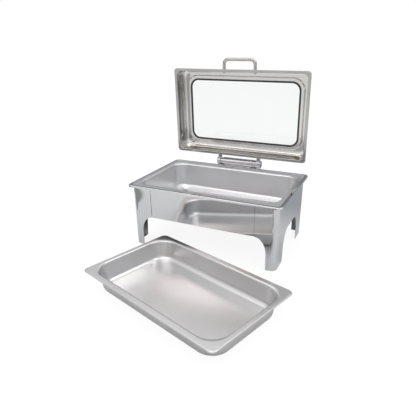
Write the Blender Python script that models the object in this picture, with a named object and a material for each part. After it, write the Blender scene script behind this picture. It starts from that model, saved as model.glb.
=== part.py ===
"""Roll top chafer with its glazed lid standing open on a damped hinge, and its food pan set down in front.

Lengths are in millimetres and become metres where a mesh is made. +X is to the right, +Y to the rear and
+Z up. The chafer is drawn about its own middle at floor level. At the end the whole assembly is moved, so
that the middle of its footprint is the world origin.
"""

import math

import bmesh
import bpy
from mathutils import Matrix, Vector

MM = 0.001
GAP = 0.3
SHEET = 1.5
PAN_SHEET = 1.0

# Stand
RIM_HALF_X, RIM_HALF_Y, RIM_RADIUS = 279.0, 184.0, 18.0
RIM_TOP = 228.0
RIM_LIP = 7.3
RIM_BEAD_X, RIM_BEAD_Y = 8.8, 11.8
RECESS_DEPTH = 2.4
PANEL_HALF_X, PANEL_HALF_Y, PANEL_RADIUS = 267.7, 172.7, 22.0
PANEL_TOP = RIM_TOP - RECESS_DEPTH - SHEET - GAP
PANEL_LEAN = 2.2
SEAM_X = 190.5
SEAM_GAP = 1.6
APRON_BOTTOM = 113.0
APRON_HEM = 10.0
FRONT_LEG_INNER = 231.1
FRONT_ARCH_SPRING = 55.0
SIDE_ARCH_TOP, SIDE_ARCH_SPRING = 107.0, 42.0
SIDE_ARCH_FLAT, SIDE_LEG_INNER, SIDE_LEG_FOOT = 40.0, 90.5, 94.0
SKIRT_DROP = 18.0
SPLICE_WIDTH, SPLICE_BOTTOM, SPLICE_TOP = 30.0, 118.0, 203.0

# Water pan, which drops into the recess of the rim
WATER_HALF_X, WATER_HALF_Y, WATER_RADIUS = 250.0, 143.5, 45.0
WATER_EDGE_RADIUS = 7.0
WATER_FLANGE_TOP = RIM_TOP - RECESS_DEPTH + GAP + PAN_SHEET
WATER_FLOOR = 130.0
WATER_FILLET = 15.0
WATER_DRAFT = 4.0

# Food pan, a full size gastronorm pan 65 deep
FOOD_HALF_X, FOOD_HALF_Y, FOOD_FLANGE_RADIUS = 265.0, 162.5, 9.0
FOOD_DEPTH = 65.0
FOOD_WALL_X, FOOD_WALL_Y, FOOD_WALL_RADIUS = 248.0, 141.0, 60.0
FOOD_EDGE_RADIUS = 5.0
FOOD_FILLET = 17.0
FOOD_DRAFT = 5.0
FOOD_CENTRE = (67.3, -424.2)
FOOD_TURN = math.radians(-18.53)

# Hinge line and lid
HINGE_Y, HINGE_Z = 190.5, 242.5
LID_HALF_X, LID_HALF_Y, LID_CORNER = 264.5, 163.0, 12.0
LID_REAR_Y = 161.5
LID_SEAT_Z = WATER_FLANGE_TOP + GAP
LID_OPEN = math.radians(87.66)
LID_SHEET = 1.2
LID_FACE = 56.5
LID_LAND = 53.0
LID_WALL_TOP = 48.5
LID_FACE_INSET = 22.0
WALL_INSET = 10.0
WINDOW_INSET = 40.0
WINDOW_RADIUS = 36.0
GLASS_INSET, GLASS_RADIUS = 44.0, 32.0
GLASS_LOW, GLASS_HIGH = 52.2, 55.9

HANDLE_SPAN, HANDLE_RADIUS, HANDLE_BEND = 120.0, 6.0, 17.0
HANDLE_REACH, HANDLE_HEIGHT = 196.2, 13.0
HANDLE_BORE, HANDLE_BORE_DEPTH = 2.5, 14.0

DAMPER_RADIUS, DAMPER_WALL = 15.5, 2.0
DAMPER_LEFT, DAMPER_RIGHT = -65.7, 58.7
SHAFT_RADIUS, RUNNING_GAP = 5.0, 0.08
# Rotor vanes and tube stops are centred on these sides of a section of ROUND_SIDES, counted from the rear
# upwards; the vanes swing from just above one pair of stops to just short of the other
ROTOR_HUB, VANE_RADIUS, ROTOR_VANES = 8.0, 13.0, (9, 27)
STOP_RADIUS, TUBE_STOPS = 8.6, (15, 33)
CAP_LENGTH, SEAL_LENGTH, SEAL_RADIUS = 5.5, 2.5, 8.5
COLLAR_LEFT, COLLAR_RIGHT, COLLAR_RADIUS = 48.0, 58.4, 16.4
EAR_WIDTH = 11.0
EARS = {"left": (-77.0, 13.0), "right": (59.0, 15.2)}
HUBS = {"left": (-91.0, -77.3, -85.0), "right": (90.0, 70.3, 75.0)}
ARM_WIDTH, ARM_PLATE, ARM_START = 15.0, 3.0, 11.0
SCREW_RADIUS, SCREW_HOLE, HOLE_LENGTH = 2.4, 2.8, 14.0
BRACKET_SCREWS = (-60.5, -22.5, 15.5, 53.5)
BRACKET_SCREW_Z = 197.0

CORNER_STEPS = 6
ROUND_SIDES = 36
SMALL_SIDES = 16

# Local Z becomes world X, so an outline drawn in (y, z) is extruded across the chafer
ACROSS = Matrix(((0, 0, 1, 0), (1, 0, 0, 0), (0, 1, 0, 0), (0, 0, 0, 1)))
# Local Z becomes world Y, for fasteners that lie front to back
REARWARD = Matrix(((1, 0, 0, 0), (0, 0, 1, 0), (0, -1, 0, 0), (0, 0, 0, 1)))

FINISHES = {
    "mirror": ((0.80, 0.81, 0.83), 1.0, 0.06),
    "satin": ((0.72, 0.72, 0.73), 1.0, 0.28),
    "dark": ((0.35, 0.35, 0.36), 1.0, 0.35),
    "rubber": ((0.03, 0.03, 0.03), 0.0, 0.6),
    "glass": ((0.90, 0.93, 0.92), 0.0, 0.02),
    "nylon": ((0.10, 0.10, 0.10), 0.0, 0.5),
}


def material_for(name, finish):
    colour, metallic, roughness = FINISHES[finish]
    material = bpy.data.materials.new(name + "_material")
    material.use_nodes = True
    shader = material.node_tree.nodes["Principled BSDF"]
    shader.inputs["Base Color"].default_value = (*colour, 1.0)
    shader.inputs["Metallic"].default_value = metallic
    shader.inputs["Roughness"].default_value = roughness
    if finish == "glass":
        shader.inputs["Transmission Weight"].default_value = 1.0
    return material


def empty(name, location=(0.0, 0.0, 0.0), turn=(0.0, 0.0, 0.0), parent=None):
    holder = bpy.data.objects.new(name, None)
    bpy.context.scene.collection.objects.link(holder)
    holder.location = Vector(location) * MM
    holder.rotation_euler = turn
    holder.parent = parent
    return holder


def finished(name, shape, finish, parent, location=(0.0, 0.0, 0.0)):
    """The bmesh as a closed, outward facing object under its parent."""
    bmesh.ops.recalc_face_normals(shape, faces=shape.faces)
    if shape.calc_volume(signed=True) < 0:
        bmesh.ops.reverse_faces(shape, faces=shape.faces)
    mesh = bpy.data.meshes.new(name)
    shape.to_mesh(mesh)
    shape.free()
    mesh.shade_smooth()
    mesh.set_sharp_from_angle(angle=math.radians(35))
    mesh.materials.append(material_for(name, finish))
    piece = bpy.data.objects.new(name, mesh)
    bpy.context.scene.collection.objects.link(piece)
    piece.parent = parent
    piece.location = Vector(location) * MM
    return piece


def loft(sections, closed, placement=Matrix.Identity(4)):
    """A bmesh skinned over equal rings of points, joined end to start when closed, else with flat ends."""
    shape = bmesh.new()
    rings = [[shape.verts.new(placement @ Vector(point) * MM) for point in section] for section in sections]
    following = rings[1:] + rings[:1] if closed else rings[1:]
    for ring, after in zip(rings, following):
        for i, corner in enumerate(ring):
            j = (i + 1) % len(ring)
            shape.faces.new((corner, ring[j], after[j], after[i]))
    if not closed:
        shape.faces.new(rings[0])
        shape.faces.new(rings[-1])
    return shape


def rounded_rectangle(half_x, half_y, radius, height):
    points = []
    for quarter, (side_x, side_y) in enumerate(((1, 1), (-1, 1), (-1, -1), (1, -1))):
        for step in range(CORNER_STEPS + 1):
            angle = math.radians(90 * (quarter + step / CORNER_STEPS))
            x = side_x * (half_x - radius) + radius * math.cos(angle)
            y = side_y * (half_y - radius) + radius * math.sin(angle)
            points.append((x, y, height))
    return points


def pressed(name, sections, finish, parent, closed, location=(0.0, 0.0, 0.0)):
    """A pressing whose every level is a rounded rectangle: (half_x, half_y, corner radius, height)."""
    shape = loft([rounded_rectangle(*section) for section in sections], closed)
    return finished(name, shape, finish, parent, location)


def turned(name, stations, finish, parent, placement, closed=False, sides=ROUND_SIDES):
    """A turned piece along local Z: stations of (distance along, radius or one radius per side)."""
    sections = []
    for along, radius in stations:
        radii = radius if isinstance(radius, list) else [radius] * sides
        turns = [2 * math.pi * i / sides for i in range(sides)]
        sections.append([(r * math.cos(t), r * math.sin(t), along) for r, t in zip(radii, turns)])
    return finished(name, loft(sections, closed, placement), finish, parent)


def extruded(name, outline, span, finish, parent, placement=ACROSS, location=(0.0, 0.0, 0.0)):
    sections = [[(a, b, along) for a, b in outline] for along in span]
    return finished(name, loft(sections, False, placement), finish, parent, location)


def combine(piece, tool, operation):
    """Joins the tool to the piece or cuts it out, for good, and drops the tool."""
    bpy.context.view_layer.update()
    modifier = piece.modifiers.new(operation, "BOOLEAN")
    modifier.operation = operation
    modifier.object = tool
    evaluated = piece.evaluated_get(bpy.context.evaluated_depsgraph_get())
    result = bpy.data.meshes.new_from_object(evaluated)
    piece.modifiers.clear()
    piece.data = result
    bpy.data.objects.remove(tool)


def drill(piece, radius, centre, placement, length):
    """A round hole through the piece, its axis along the placement's local Z through the centre."""
    where = Matrix.Translation(Vector(centre)) @ placement
    cutter = turned("cutter", ((-length / 2, radius), (length / 2, radius)), "dark", piece.parent, where,
                    sides=SMALL_SIDES)
    combine(piece, cutter, "DIFFERENCE")


def arc(centre_a, centre_b, radius, start, end, steps):
    """Points of a circular arc from start to end, in degrees."""
    angles = [math.radians(start + (end - start) * i / steps) for i in range(steps + 1)]
    return [(centre_a + radius * math.cos(angle), centre_b + radius * math.sin(angle)) for angle in angles]


# ---------------------------------------------------------------- stand


def lean(height):
    """How far the side walls of the stand lean in at this height."""
    return PANEL_LEAN * (1 - height / PANEL_TOP)


def wing_columns():
    """Plan points, outward normals and bottom heights along the front half of the right end frame."""
    columns = []
    start = SEAM_X + SEAM_GAP / 2
    reach = FRONT_LEG_INNER - SEAM_X
    for step in range(8):
        across = start - SEAM_X + (reach - start + SEAM_X) * math.sin(math.radians(90 * step / 7))
        fall = math.sqrt(max(0.0, 1 - (across / reach) ** 2))
        bottom = FRONT_ARCH_SPRING + (APRON_BOTTOM - FRONT_ARCH_SPRING) * fall
        columns.append(((SEAM_X + across, -PANEL_HALF_Y), (0, -1), bottom))
    columns.append(((FRONT_LEG_INNER + 0.5, -PANEL_HALF_Y), (0, -1), 0.0))
    centre_x, centre_y = PANEL_HALF_X - PANEL_RADIUS, -PANEL_HALF_Y + PANEL_RADIUS
    for x, y in arc(0, 0, 1, -90, 0, CORNER_STEPS):
        columns.append(((centre_x + PANEL_RADIUS * x, centre_y + PANEL_RADIUS * y), (x, y), 0.0))
    columns.append(((PANEL_HALF_X, -SIDE_LEG_FOOT), (1, 0), 0.0))
    for step in range(9):
        turn = math.radians(90 * step / 8)
        y = -SIDE_ARCH_FLAT - (SIDE_LEG_INNER - SIDE_ARCH_FLAT) * math.cos(turn)
        bottom = SIDE_ARCH_SPRING + (SIDE_ARCH_TOP - SIDE_ARCH_SPRING) * math.sin(turn)
        columns.append(((PANEL_HALF_X, y), (1, 0), bottom))
    return columns


def end_frame(name, side, parent):
    """One end of the stand: two corners with their legs and the side wall between them, one bent sheet."""
    front = wing_columns()
    rear = [((x, -y), (nx, -ny), bottom) for (x, y), (nx, ny), bottom in reversed(front)]
    sections = []
    for (x, y), (nx, ny), bottom in front + rear:
        section = []
        for height, depth in ((bottom, 0), (PANEL_TOP, 0), (PANEL_TOP, SHEET), (bottom, SHEET)):
            inward = lean(height) + depth
            section.append((side * (x - nx * inward), y - ny * inward, height))
        sections.append(section)
    finished(name, loft(sections, False), "mirror", parent)


def apron(name, side, parent):
    """The front or rear wall between the end frames, its lower edge hemmed inwards."""

    def face(height, depth):
        return side * (PANEL_HALF_Y - lean(height) - depth), height

    hem_top = APRON_BOTTOM + SHEET
    outline = (face(APRON_BOTTOM, 0), face(PANEL_TOP, 0), face(PANEL_TOP, SHEET), face(hem_top, SHEET),
               face(hem_top, APRON_HEM), face(APRON_BOTTOM, APRON_HEM))
    half = SEAM_X - SEAM_GAP / 2
    return extruded(name, outline, (-half, half), "mirror", parent)


def splice_plate(name, side_x, side_y, parent):
    """A strip behind a seam, to which both neighbouring walls are spot welded."""
    outline = []
    for height, depth in ((SPLICE_BOTTOM, 0), (SPLICE_TOP, 0), (SPLICE_TOP, SHEET), (SPLICE_BOTTOM, SHEET)):
        outline.append((side_y * (PANEL_HALF_Y - lean(height) - SHEET - GAP - depth), height))
    middle = side_x * SEAM_X
    extruded(name, outline, (middle - SPLICE_WIDTH / 2, middle + SPLICE_WIDTH / 2), "satin", parent)


def top_frame(parent):
    """The rim: rolled outer lip, raised bead, recess for the pan flange, and a skirt inside the walls."""
    top, under = RIM_TOP, RIM_TOP - SHEET
    recess, recess_under = RIM_TOP - RECESS_DEPTH, RIM_TOP - RECESS_DEPTH - SHEET
    bead_x, bead_y = RIM_HALF_X - RIM_BEAD_X, RIM_HALF_Y - RIM_BEAD_Y
    inset = SHEET + GAP
    skirt_x, skirt_y, skirt_r = PANEL_HALF_X - inset, PANEL_HALF_Y - inset, PANEL_RADIUS - inset
    open_x, open_y = WATER_HALF_X + WATER_EDGE_RADIUS - 0.5, WATER_HALF_Y + WATER_EDGE_RADIUS - 0.5
    open_r = WATER_RADIUS + WATER_EDGE_RADIUS - 0.5
    skirt_low = RIM_TOP - SKIRT_DROP - RECESS_DEPTH

    def outer(inset, height):
        return RIM_HALF_X - inset, RIM_HALF_Y - inset, RIM_RADIUS - inset, height

    sections = (
        outer(0, top - RIM_LIP), outer(0, top - 2.2), outer(0.7, top - 0.7), outer(2.2, top),
        (bead_x, bead_y, 12.5, top), (bead_x - 0.9, bead_y - 0.9, 11.8, top - 0.4),
        (bead_x - 1.3, bead_y - 1.3, 11.5, top - 1.4), (bead_x - 1.3, bead_y - 1.3, 11.5, recess),
        (open_x, open_y, open_r, recess), (open_x, open_y, open_r, recess_under),
        (skirt_x - SHEET, skirt_y - SHEET, skirt_r - SHEET, recess_under),
        (skirt_x - SHEET - 0.4, skirt_y - SHEET - 0.4, skirt_r - SHEET, skirt_low),
        (skirt_x - 0.4, skirt_y - 0.4, skirt_r, skirt_low), (skirt_x, skirt_y, skirt_r, recess_under),
        (bead_x + 0.3, bead_y + 1.0, 13.5, recess_under), (bead_x + 0.8, bead_y + 1.5, 14.0, under),
        outer(SHEET, under), outer(SHEET, top - RIM_LIP),
    )
    pressed("top_frame", sections, "mirror", parent, closed=True)


# ---------------------------------------------------------------- pans


def pan_sections(wall, edge_radius, draft, fillet, floor, flange_top, flange):
    """Outer skin from the bottom up, then the flange's own sections, then the inner skin back down.

    wall is (half_x, half_y, corner radius) of the inner wall just under the rounded edge.
    """
    half_x, half_y, corner = wall
    wall_top = flange_top - edge_radius
    wall_foot = floor + fillet
    outer, inner = [], []
    for skin, thickness in ((outer, PAN_SHEET), (inner, 0.0)):
        for a, height in arc(0, wall_foot, fillet + thickness, -90, 0, 4):
            inset = draft + fillet - a
            skin.append((half_x - inset, half_y - inset, corner - inset, height))
        for a, height in arc(0, wall_top, edge_radius - thickness, 180, 90, 4):
            grow = edge_radius + a
            skin.append((half_x + grow, half_y + grow, corner + grow, height))
    return outer + flange + inner[::-1]


def water_pan(parent):
    flange_x, flange_y = RIM_HALF_X - RIM_BEAD_X - 2.6, RIM_HALF_Y - RIM_BEAD_Y - 2.6
    flange_low = WATER_FLANGE_TOP - PAN_SHEET
    flange = [(flange_x, flange_y, 10.5, flange_low), (flange_x, flange_y, 10.5, WATER_FLANGE_TOP)]
    wall = (WATER_HALF_X, WATER_HALF_Y, WATER_RADIUS)
    sections = pan_sections(wall, WATER_EDGE_RADIUS, WATER_DRAFT, WATER_FILLET, WATER_FLOOR,
                            WATER_FLANGE_TOP, flange)
    pressed("water_pan", sections, "satin", parent, closed=False)


def food_pan(parent):
    def edge(inset, height):
        return FOOD_HALF_X - inset, FOOD_HALF_Y - inset, FOOD_FLANGE_RADIUS - inset, height

    lip = FOOD_DEPTH - 4.0
    flange = [edge(2.4, FOOD_DEPTH - PAN_SHEET), edge(1.0, FOOD_DEPTH - 2.4), edge(1.0, lip), edge(0, lip),
              edge(0, FOOD_DEPTH - 2.0), edge(0.6, FOOD_DEPTH - 0.6), edge(2.0, FOOD_DEPTH)]
    wall = (FOOD_WALL_X, FOOD_WALL_Y, FOOD_WALL_RADIUS)
    sections = pan_sections(wall, FOOD_EDGE_RADIUS, FOOD_DRAFT, FOOD_FILLET, PAN_SHEET, FOOD_DEPTH, flange)
    pressed("food_pan", sections, "satin", parent, closed=False)


# ---------------------------------------------------------------- lid, drawn shut, flange face at height 0


def lid_level(inset, radius, height):
    return LID_HALF_X - inset, LID_HALF_Y - inset, radius, height


def lid_shell(parent, location):
    """Hemmed flange, drafted wall, rounded shoulder and a sunk land round the window opening."""
    under, over = [], []
    for a, height in arc(0, LID_WALL_TOP, LID_FACE - LID_WALL_TOP, 0, 90, 4):
        under.append(lid_level(LID_FACE_INSET - a, 16.0 + a - 8.0, height))
    for a, height in arc(0, LID_WALL_TOP, LID_FACE - LID_WALL_TOP + LID_SHEET, 0, 90, 4):
        over.append(lid_level(LID_FACE_INSET - a, 17.2 + a - 9.2, height))
    sections = (
        [lid_level(WINDOW_INSET, WINDOW_RADIUS, LID_LAND), lid_level(31.5, 43.5, LID_LAND),
         lid_level(29.0, 45.5, LID_FACE)] + under[::-1]
        + [lid_level(11.0, 18.0, 2.0), lid_level(10.4, 18.2, 0.6), lid_level(9.4, 18.6, 0.0),
           lid_level(1.2, LID_CORNER - 1.2, 0.0), lid_level(0.3, LID_CORNER - 0.3, 0.5),
           lid_level(0.0, LID_CORNER, 1.5), lid_level(0.3, LID_CORNER - 0.3, 2.5),
           lid_level(1.2, LID_CORNER - 1.2, 3.0), lid_level(4.0, 10.0, 3.0), lid_level(4.4, 10.0, LID_SHEET),
           lid_level(9.7, 18.6, LID_SHEET)]
        + over + [lid_level(28.6, 45.8, LID_FACE + LID_SHEET), lid_level(31.1, 43.8, LID_LAND + LID_SHEET),
                  lid_level(WINDOW_INSET, WINDOW_RADIUS, LID_LAND + LID_SHEET)]
    )
    shell = pressed("lid_shell", sections, "satin", parent, closed=True, location=location)
    for side in (-1, 1):
        centre = Vector((side * HANDLE_SPAN / 2, -LID_HALF_Y + WALL_INSET, HANDLE_HEIGHT)) + Vector(location)
        drill(shell, SCREW_HOLE, centre, REARWARD, HOLE_LENGTH)


def window_parts(parent, location):
    glass = [lid_level(GLASS_INSET, GLASS_RADIUS, GLASS_LOW), lid_level(GLASS_INSET, GLASS_RADIUS, GLASS_HIGH)]
    pressed("window_glass", glass, "glass", parent, closed=False, location=location)

    lip_low, lip_high = GLASS_LOW - 1.2, GLASS_HIGH + 1.2
    seal_outer, seal_inner = (WINDOW_INSET - 1.2, 37.2), (48.8, 28.2)
    neck = (42.9, 33.1)
    groove = (GLASS_INSET - GAP, GLASS_RADIUS + GAP)
    web = (WINDOW_INSET + GAP, WINDOW_RADIUS - GAP)
    gasket = [
        lid_level(*neck, lip_low), lid_level(*seal_inner, lip_low),
        lid_level(*seal_inner, GLASS_LOW - GAP), lid_level(*groove, GLASS_LOW - GAP),
        lid_level(*groove, GLASS_HIGH + GAP), lid_level(*seal_inner, GLASS_HIGH + GAP),
        lid_level(*seal_inner, lip_high), lid_level(*seal_outer, lip_high),
        lid_level(*seal_outer, LID_LAND + LID_SHEET + GAP), lid_level(*web, LID_LAND + LID_SHEET + GAP),
        lid_level(*web, LID_LAND), lid_level(*neck, LID_LAND),
    ]
    pressed("window_gasket", gasket, "rubber", parent, closed=True, location=location)

    ring_top = LID_LAND - GAP
    ring = [lid_level(31.8, 43.2, ring_top), lid_level(31.8, 43.2, ring_top - 0.8),
            lid_level(32.4, 42.8, ring_top - LID_SHEET), lid_level(42.1, 33.8, ring_top - LID_SHEET),
            lid_level(42.6, 33.4, ring_top - 0.8), lid_level(42.6, 33.4, ring_top)]
    pressed("window_ring", ring, "satin", parent, closed=True, location=location)


def handle_path():
    """Centre line of the handle from the left foot round to the right foot."""
    half, reach = HANDLE_SPAN / 2, -HANDLE_REACH
    foot = -LID_HALF_Y + 9.6 - GAP
    left = arc(-half + HANDLE_BEND, reach + HANDLE_BEND, HANDLE_BEND, 180, 270, 6)
    right = arc(half - HANDLE_BEND, reach + HANDLE_BEND, HANDLE_BEND, 270, 360, 6)
    return [(-half, foot)] + left + right + [(half, foot)]


def lid_handle(parent, location):
    """A round bar bent twice, each foot bored for the screw that holds it."""
    path = [Vector((x, y, HANDLE_HEIGHT)) for x, y in handle_path()]
    rings = []
    for i, point in enumerate(path):
        along = (path[min(i + 1, len(path) - 1)] - path[max(i - 1, 0)]).normalized()
        rings.append((point, along, HANDLE_RADIUS))
    first, last = rings[0], rings[-1]
    inner_first = (first[0] + first[1] * HANDLE_BORE_DEPTH, first[1], HANDLE_BORE)
    inner_last = (last[0] - last[1] * HANDLE_BORE_DEPTH, last[1], HANDLE_BORE)
    rings = [inner_first, (first[0], first[1], HANDLE_BORE)] + rings
    rings += [(last[0], last[1], HANDLE_BORE), inner_last]
    up = Vector((0, 0, 1))
    sections = []
    for point, along, radius in rings:
        side = along.cross(up)
        turns = [2 * math.pi * i / SMALL_SIDES for i in range(SMALL_SIDES)]
        sections.append([point + (side * math.cos(t) + up * math.sin(t)) * radius for t in turns])
    finished("lid_handle", loft(sections, False), "satin", parent, location)


def handle_fasteners(parent, location):
    """Screw and washer at each handle foot, put in from inside the lid."""
    for label, side in (("left", -1), ("right", 1)):
        centre = Vector((side * HANDLE_SPAN / 2, -LID_HALF_Y, HANDLE_HEIGHT)) + Vector(location)
        where = Matrix.Translation(centre) @ REARWARD
        washer = ((12.2, 2.8), (13.2, 2.8), (13.2, 5.5), (12.2, 5.5))
        turned("handle_washer_" + label, washer, "satin", parent, where, closed=True, sides=SMALL_SIDES)
        screw = ((-1.0, 1.9), (0.2, 2.2), (13.5, 2.2), (13.5, 4.4), (15.2, 4.1), (16.2, 2.6))
        turned("handle_screw_" + label, screw, "satin", parent, where, sides=SMALL_SIDES)


# ---------------------------------------------------------------- hinge and damper


def hinge_line(x=0.0):
    return Matrix.Translation(Vector((x, HINGE_Y, HINGE_Z))) @ ACROSS


def ribbed(base, peak, centres):
    """One radius per side of a round section: base all round, peak over three sides at each centre."""
    radii = [base] * ROUND_SIDES
    for centre in centres:
        for offset in (-1, 0, 1):
            radii[(centre + offset) % ROUND_SIDES] = peak
    return radii


def hinge_bracket(parent):
    """A joggled plate on the rear wall with two ears that carry the hinge shaft over the rim."""
    low, step, high = 188.0, 211.5, RIM_TOP - 3.0
    wall, rear = PANEL_HALF_Y + GAP, RIM_HALF_Y + 0.6
    plate = 2.5
    outline = ((wall, low), (wall, step + plate), (rear, step + plate), (rear, high), (rear + plate, high),
               (rear + plate, step), (wall + plate, step), (wall + plate, low))
    span = (EARS["left"][0], EARS["right"][0] + EAR_WIDTH)
    bracket = extruded("hinge_bracket", outline, span, "mirror", parent)
    for start, radius in EARS.values():
        ends = (start, start + EAR_WIDTH)
        stem = ((rear, step), (rear, RIM_TOP + GAP), (rear - 11.0, RIM_TOP + GAP),
                (rear - 11.0, RIM_TOP + GAP + plate), (rear, RIM_TOP + GAP + plate), (rear, HINGE_Z),
                (HINGE_Y + 9.0, HINGE_Z), (rear + 11.0, step))
        combine(bracket, extruded("stem", stem, ends, "mirror", parent), "UNION")
        ring = turned("ring", ((ends[0], radius), (ends[1], radius)), "mirror", parent, hinge_line())
        combine(bracket, ring, "UNION")
    clear = SHAFT_RADIUS + RUNNING_GAP
    bore = turned("bore", ((span[0] - 5, clear), (span[1] + 5, clear)), "dark", parent, hinge_line())
    combine(bracket, bore, "DIFFERENCE")
    for x in BRACKET_SCREWS:
        drill(bracket, SCREW_HOLE, (x, wall, BRACKET_SCREW_Z), REARWARD, HOLE_LENGTH)


def bracket_fasteners(parent, rear_apron):
    """Screws through the bracket and the rear wall, each into a nut inside the stand."""
    for number, x in enumerate(BRACKET_SCREWS, 1):
        where = Matrix.Translation(Vector((x, PANEL_HALF_Y, BRACKET_SCREW_Z))) @ REARWARD
        drill(rear_apron, SCREW_HOLE, (x, PANEL_HALF_Y, BRACKET_SCREW_Z), REARWARD, HOLE_LENGTH)
        screw = ((-8.5, 2.0), (-8.0, SCREW_RADIUS), (3.1, SCREW_RADIUS), (3.1, 4.6), (5.0, 4.2), (6.0, 2.6))
        turned(f"bracket_screw_{number}", screw, "satin", parent, where, sides=SMALL_SIDES)
        nut = ((-6.2, SCREW_HOLE), (-2.2, SCREW_HOLE), (-2.2, 4.6), (-6.2, 4.6))
        turned(f"bracket_nut_{number}", nut, "satin", parent, where, closed=True, sides=6)


def damper(parent):
    """The fixed part of the damper: tube with two inner stops, end caps, shaft seals and a clamp collar."""
    inner = DAMPER_RADIUS - DAMPER_WALL
    bore = ribbed(inner, STOP_RADIUS, TUBE_STOPS)
    tube = ((DAMPER_LEFT, DAMPER_RADIUS - 0.6), (DAMPER_LEFT + 0.6, DAMPER_RADIUS),
            (DAMPER_RIGHT - 0.6, DAMPER_RADIUS), (DAMPER_RIGHT, DAMPER_RADIUS - 0.6),
            (DAMPER_RIGHT, inner), (DAMPER_RIGHT - 9.0, inner), (DAMPER_RIGHT - 9.1, bore),
            (DAMPER_LEFT + 9.1, bore), (DAMPER_LEFT + 9.0, inner), (DAMPER_LEFT, inner))
    turned("damper_tube", tube, "mirror", parent, hinge_line(), closed=True)
    running = SHAFT_RADIUS + RUNNING_GAP
    for label, start in (("left", DAMPER_LEFT), ("right", DAMPER_RIGHT - CAP_LENGTH)):
        end = start + CAP_LENGTH
        cap = ((start, running), (end, running), (end, inner - GAP), (start, inner - GAP))
        turned("damper_cap_" + label, cap, "satin", parent, hinge_line(), closed=True)
    clear = CAP_LENGTH + GAP
    for label, start in (("left", DAMPER_LEFT + clear), ("right", DAMPER_RIGHT - clear - SEAL_LENGTH)):
        end = start + SEAL_LENGTH
        inside = SHAFT_RADIUS + GAP
        seal = ((start, inside), (end, inside), (end, SEAL_RADIUS), (start, SEAL_RADIUS))
        turned("shaft_seal_" + label, seal, "rubber", parent, hinge_line(), closed=True, sides=SMALL_SIDES)
    chamfer = 0.5
    clamped = DAMPER_RADIUS + 0.2
    collar = ((COLLAR_LEFT, clamped), (COLLAR_RIGHT, clamped), (COLLAR_RIGHT, COLLAR_RADIUS - chamfer),
              (COLLAR_RIGHT - chamfer, COLLAR_RADIUS), (COLLAR_LEFT + chamfer, COLLAR_RADIUS),
              (COLLAR_LEFT, COLLAR_RADIUS - chamfer))
    turned("damper_collar", collar, "mirror", parent, hinge_line(), closed=True)


def rotor_and_shaft(parent):
    """The moving inside of the damper, in the lid's own frame, whose origin is on the hinge line."""
    vane = ribbed(ROTOR_HUB, VANE_RADIUS, ROTOR_VANES)
    start, end = DAMPER_LEFT + 9.6, DAMPER_RIGHT - 9.6
    bore = SHAFT_RADIUS + GAP
    rotor = ((start, bore), (end, bore), (end, vane), (start, vane))
    turned("damper_rotor", rotor, "nylon", parent, ACROSS, closed=True)
    left, right = HUBS["left"][0] + 4.3, HUBS["right"][0] - 4.3
    shaft = ((left, SHAFT_RADIUS - 0.5), (left + 0.5, SHAFT_RADIUS), (right - 0.5, SHAFT_RADIUS),
             (right, SHAFT_RADIUS - 0.5))
    turned("hinge_shaft", shaft, "satin", parent, ACROSS)


def hinge_arm(label, parent, location):
    """End cap of the hinge with the flat arm that carries the lid, which is welded to the rear wall."""
    outer, inner, arm_start = HUBS[label]
    inward = 1 if inner > outer else -1
    bore = SHAFT_RADIUS + GAP
    hub = ((outer, DAMPER_RADIUS - 1.0), (outer + inward, DAMPER_RADIUS), (inner, DAMPER_RADIUS),
           (inner, bore), (outer + inward * 4.0, bore))
    arm = turned("hinge_arm_" + label, hub, "mirror", parent, ACROSS)
    near = LID_HALF_Y + (HINGE_Y - LID_REAR_Y) - ARM_START
    low, bend, high = 4.0, 7.0, 38.0
    wall_low, wall_high = LID_HALF_Y - 9.4, LID_HALF_Y - 11.5
    outline = ((near, low), (near, bend), (wall_low + ARM_PLATE, bend), (wall_high + ARM_PLATE, high),
               (wall_high, high), (wall_low, low))
    drawn = [(y + location[1], height + location[2]) for y, height in outline]
    plate = extruded("plate", drawn, (arm_start, arm_start + ARM_WIDTH), "mirror", parent)
    combine(arm, plate, "UNION")


def centre_on_floor(root):
    """Moves the assembly so that the middle of its footprint is at the origin."""
    bpy.context.view_layer.update()
    corners = []
    for piece in bpy.context.scene.objects:
        if piece.type == "MESH":
            corners += [piece.matrix_world @ vertex.co for vertex in piece.data.vertices]
    lowest = [min(corner[axis] for corner in corners) for axis in range(3)]
    highest = [max(corner[axis] for corner in corners) for axis in range(3)]
    root.location = (-(lowest[0] + highest[0]) / 2, -(lowest[1] + highest[1]) / 2, -lowest[2])


def main():
    for piece in list(bpy.data.objects):
        bpy.data.objects.remove(piece)
    root = empty("chafer")

    end_frame("end_frame_left", -1, root)
    end_frame("end_frame_right", 1, root)
    apron("front_apron", -1, root)
    rear_apron = apron("rear_apron", 1, root)
    for depth, side_y in (("front", -1), ("rear", 1)):
        for label, side_x in (("left", -1), ("right", 1)):
            splice_plate(f"splice_plate_{depth}_{label}", side_x, side_y, root)
    top_frame(root)
    hinge_bracket(root)
    bracket_fasteners(root, rear_apron)
    damper(root)

    hinge = empty("lid_hinge", (0, HINGE_Y, HINGE_Z), (-LID_OPEN, 0, 0), root)
    lid_place = (0.0, LID_REAR_Y - LID_HALF_Y - HINGE_Y, LID_SEAT_Z - HINGE_Z)
    lid_shell(hinge, lid_place)
    window_parts(hinge, lid_place)
    lid_handle(hinge, lid_place)
    handle_fasteners(hinge, lid_place)
    rotor_and_shaft(hinge)
    for label in HUBS:
        hinge_arm(label, hinge, lid_place)

    water_pan(root)
    food_pan(empty("food_pan_place", (*FOOD_CENTRE, 0), (0, 0, FOOD_TURN), root))
    centre_on_floor(root)


main()
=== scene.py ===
"""Looks of the roll top chafer: fine steel pressings, glass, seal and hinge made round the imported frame.

Shapes are drawn in millimetres in the piece's own place and become metres in the frame. +X is to the right,
+Y to the rear and +Z up.
"""

import math

import bmesh
import bpy
from mathutils import Matrix, Vector

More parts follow.
